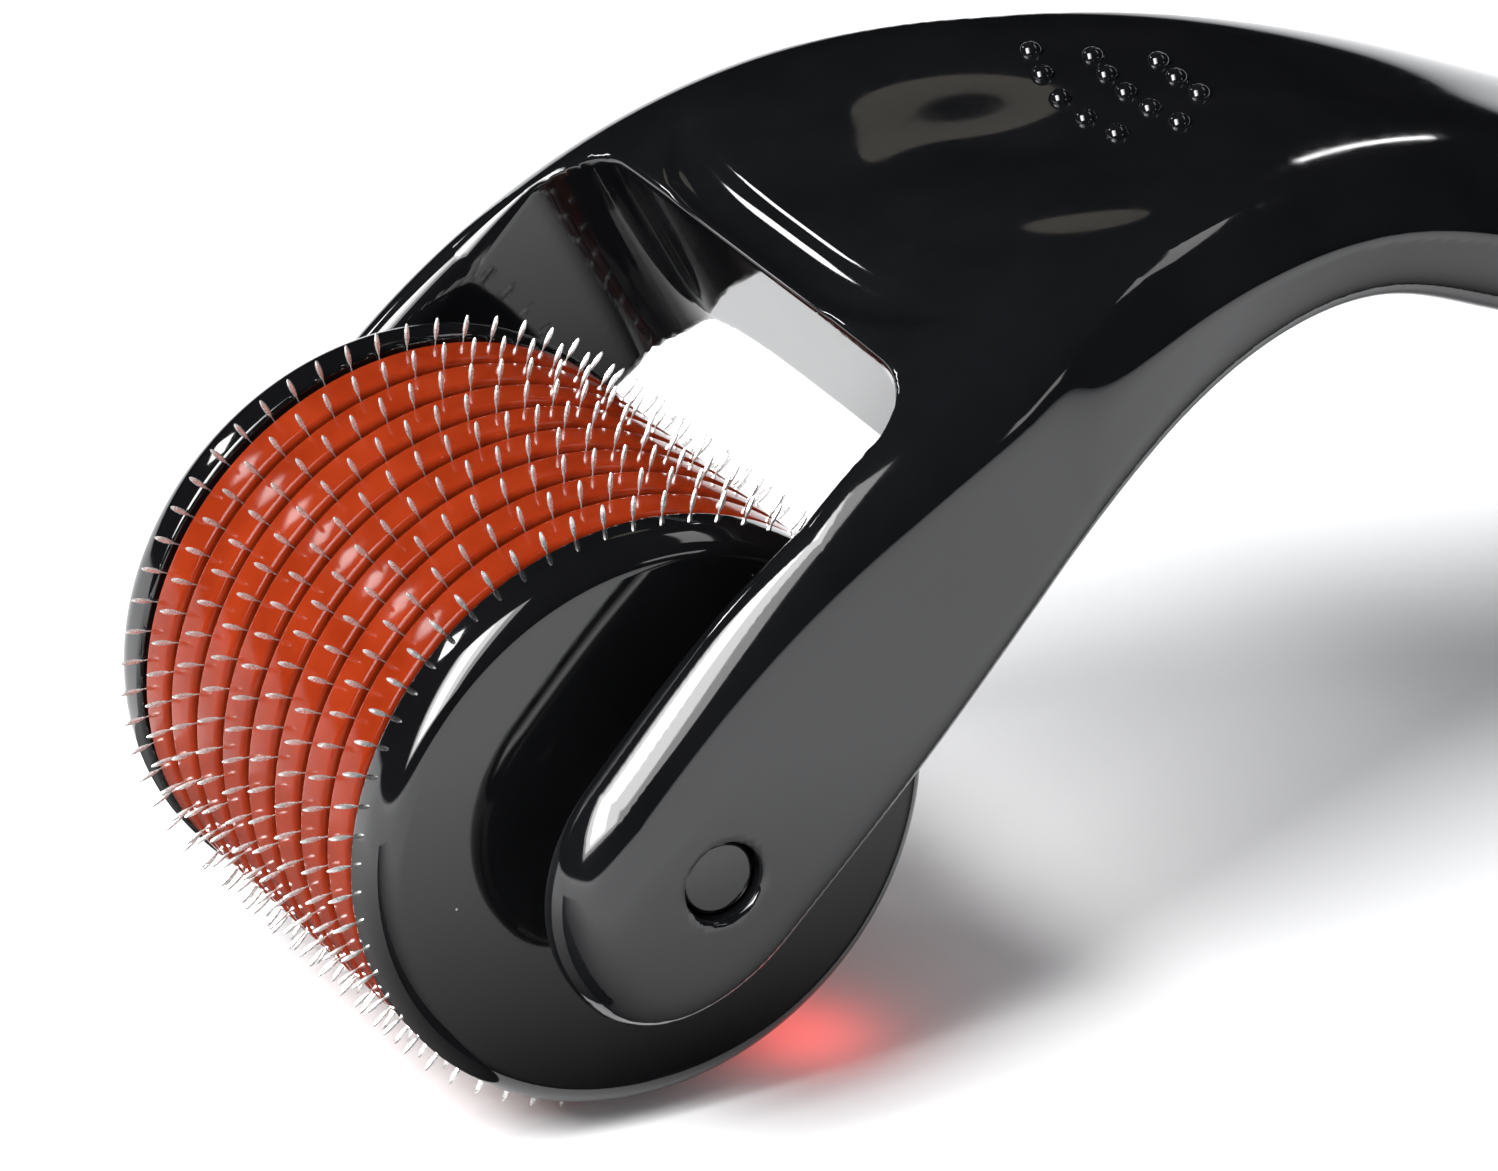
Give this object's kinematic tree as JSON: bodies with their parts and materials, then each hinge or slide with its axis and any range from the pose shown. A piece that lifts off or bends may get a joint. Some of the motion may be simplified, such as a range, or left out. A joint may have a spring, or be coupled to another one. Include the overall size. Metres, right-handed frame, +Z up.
{
  "type": "derma roller",
  "caption": "Hand-held derma roller: a swan-neck handle with a fork that carries a freely turning drum of stacked steel needle discs between translucent spacer discs.",
  "frame": {"origin": "on the table the roller lies on, under the middle of its bounding box", "axes": "+X runs from the drum towards the end of the handle, +Y along the drum's axis towards the right-hand fork arm, +Z up"},
  "size_m": [0.138, 0.0344, 0.0345],
  "materials": {
    "handle_plastic": "black, polished",
    "cap_plastic": "black, polished",
    "core_plastic": "black, as moulded",
    "spacer_plastic": "translucent orange-red, polished",
    "needle_steel": "bright steel"
  },
  "bodies": {
    "handle": {"handle": "handle_plastic"},
    "drum": {"drum_core": "core_plastic", "left_end_cap": "cap_plastic", "right_end_cap": "cap_plastic", "needle_disc_1": "needle_steel", "needle_disc_2": "needle_steel", "needle_disc_3": "needle_steel", "needle_disc_4": "needle_steel", "needle_disc_5": "needle_steel", "needle_disc_6": "needle_steel", "needle_disc_7": "needle_steel", "needle_disc_8": "needle_steel", "needle_disc_9": "needle_steel", "spacer_disc_1": "spacer_plastic", "spacer_disc_2": "spacer_plastic", "spacer_disc_3": "spacer_plastic", "spacer_disc_4": "spacer_plastic", "spacer_disc_5": "spacer_plastic", "spacer_disc_6": "spacer_plastic", "spacer_disc_7": "spacer_plastic", "spacer_disc_8": "spacer_plastic"}
  },
  "joints": [
    {"name": "drum_spin", "type": "hinge", "parent": "handle", "child": "drum", "pos_m": [-0.0556, 0, 0.0134], "axis": [0, 1, 0], "continuous": true}
  ]
}
